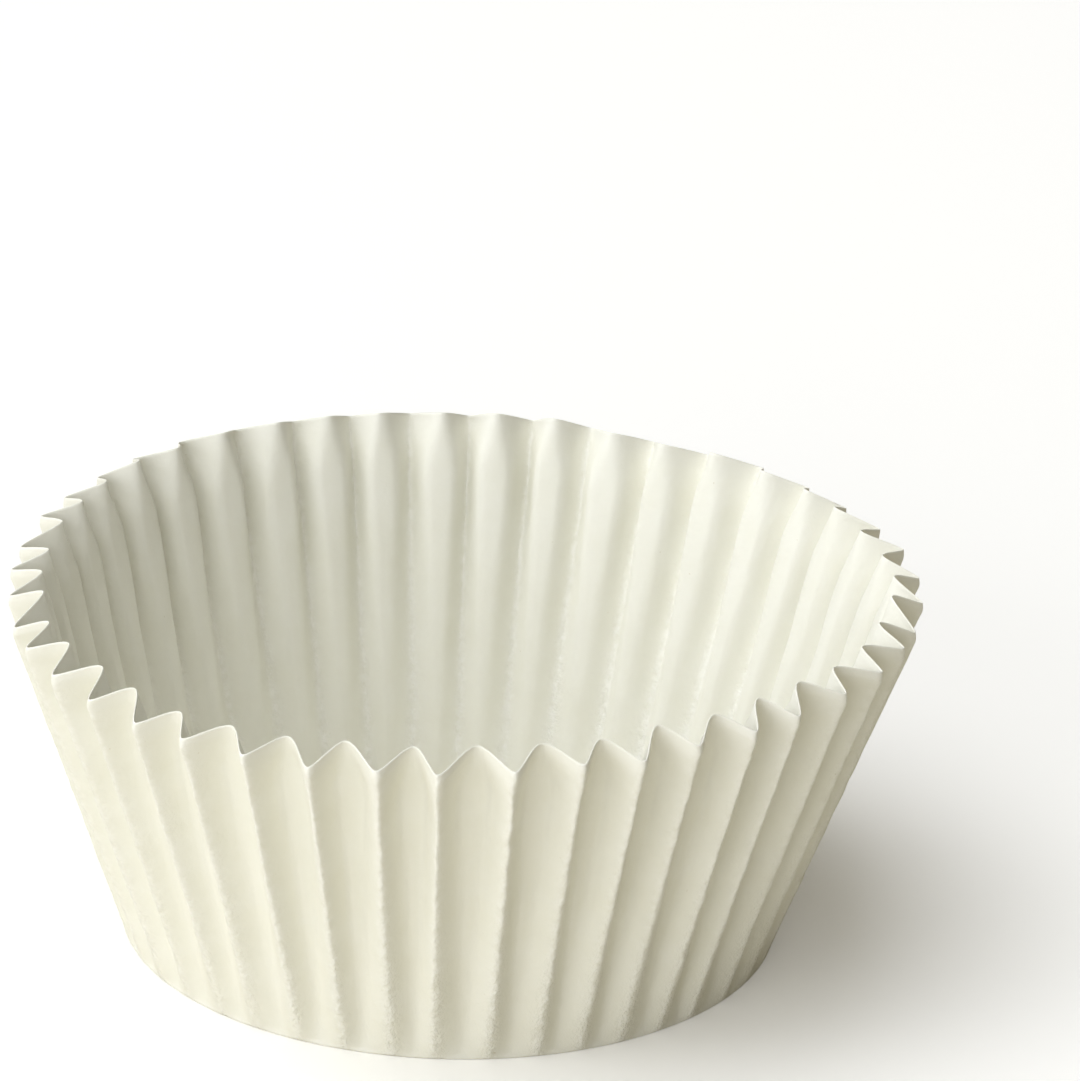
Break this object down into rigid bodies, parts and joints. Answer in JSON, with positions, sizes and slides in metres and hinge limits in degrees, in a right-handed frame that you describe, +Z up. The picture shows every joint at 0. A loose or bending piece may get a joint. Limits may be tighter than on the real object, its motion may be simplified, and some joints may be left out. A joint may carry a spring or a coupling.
{
  "type": "paper baking cup",
  "caption": "Fluted paper baking cup with a flat round bottom and a pleated, flared wall that ends in a zigzag rim; holds batter while it bakes.",
  "frame": {"origin": "centre of the flat underside, which rests on a table", "axes": "+Z up through the open mouth, along the cup's axis; +X through the sharp outer fold of one pleat"},
  "size_m": [0.069, 0.069, 0.0287],
  "materials": {
    "ivory_paper": "matt ivory baking paper"
  },
  "bodies": {
    "root": {"paper_cup": "ivory_paper"}
  },
  "joints": []
}
